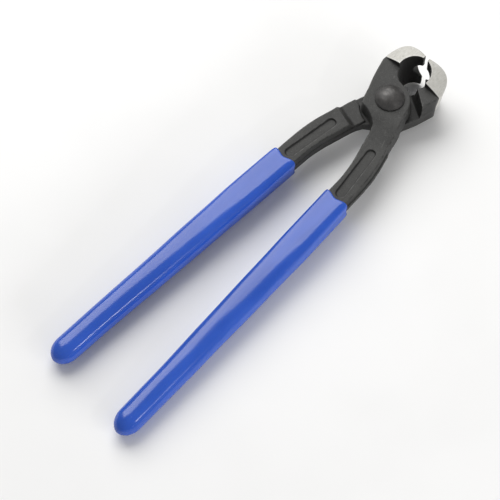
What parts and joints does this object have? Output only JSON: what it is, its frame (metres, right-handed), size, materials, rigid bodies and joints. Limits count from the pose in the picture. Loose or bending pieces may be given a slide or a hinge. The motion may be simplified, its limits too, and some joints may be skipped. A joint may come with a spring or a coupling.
{
  "type": "tile nippers",
  "caption": "Hand nippers with a round open mouth, ground crescent cutting jaws, a domed pivot rivet and long curved handles with dipped grips.",
  "frame": {"origin": "bottom centre of the tool's bounding box, with the tool lying flat", "axes": "+Z along the pivot axis, upwards when the tool lies flat; +Y from the grips towards the jaws; +X across the handles, towards the grip of the lever whose lap is on top"},
  "size_m": [0.0548, 0.2238, 0.0236],
  "materials": {
    "forged_steel": "black oxide, fine matte grain; the crown of each jaw is ground bright",
    "rivet_steel": "black oxide, semi-gloss",
    "blue_vinyl": "glossy dipped vinyl"
  },
  "bodies": {
    "front_half": {"front_lever": "forged_steel", "pivot_rivet": "rivet_steel", "front_grip": "blue_vinyl"},
    "rear_half": {"rear_lever": "forged_steel", "rear_grip": "blue_vinyl"}
  },
  "joints": [
    {"name": "jaw_pivot", "type": "hinge", "parent": "front_half", "child": "rear_half", "pos_m": [-0.00004, 0.08547, 0.01178], "axis": [0, 0, 1], "range_deg": [-44, 4.7]}
  ]
}
